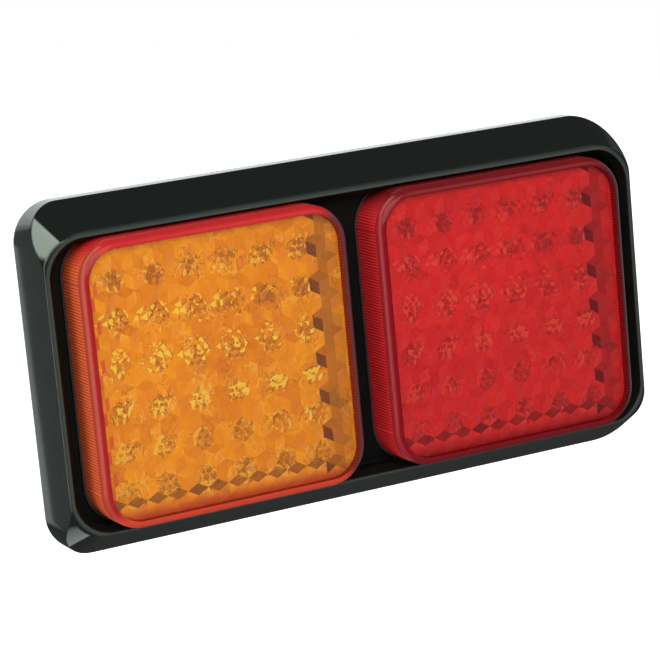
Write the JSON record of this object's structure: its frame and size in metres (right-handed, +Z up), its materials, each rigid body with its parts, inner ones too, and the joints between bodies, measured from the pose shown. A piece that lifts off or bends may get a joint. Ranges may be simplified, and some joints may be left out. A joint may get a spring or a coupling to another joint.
{
  "type": "tail light cluster",
  "caption": "Twin square LED rear lamp, amber turn signal beside red stop and tail light, in one glossy black surround with a centre bar",
  "frame": {"origin": "centre of the rear face that lies on the vehicle's panel", "axes": "+X to the right as seen from the front, +Y into the panel, +Z up; the lenses face -Y"},
  "size_m": [0.193, 0.0275, 0.103],
  "materials": {
    "surround": "polished black moulding",
    "plate": "coated sheet metal",
    "screws": "plated steel",
    "nuts": "turned brass",
    "amber_lens": "clear moulded amber plastic with a prism relief inside",
    "red_lens": "clear moulded red plastic with a prism relief inside",
    "seal": "black seal",
    "reflector": "metallised moulding",
    "amber_leds": "clear cast domes",
    "red_leds": "clear cast domes",
    "board": "coated circuit board",
    "chips": "moulded chip bodies",
    "housing": "fine grained moulding",
    "gland": "soft black rubber"
  },
  "bodies": {
    "root": {"surround_frame": "surround", "mounting_plate": "plate", "plate_screws": "screws", "clinch_nuts": "nuts", "amber_lens": "amber_lens", "amber_seal": "seal", "amber_reflector": "reflector", "amber_leds": "amber_leds", "amber_board": "board", "amber_resistors": "chips", "amber_driver": "chips", "amber_board_screws": "screws", "amber_housing": "housing", "amber_gland": "gland", "red_lens": "red_lens", "red_seal": "seal", "red_reflector": "reflector", "red_leds": "red_leds", "red_board": "board", "red_resistors": "chips", "red_driver": "chips", "red_board_screws": "screws", "red_housing": "housing", "red_gland": "gland"}
  },
  "joints": []
}
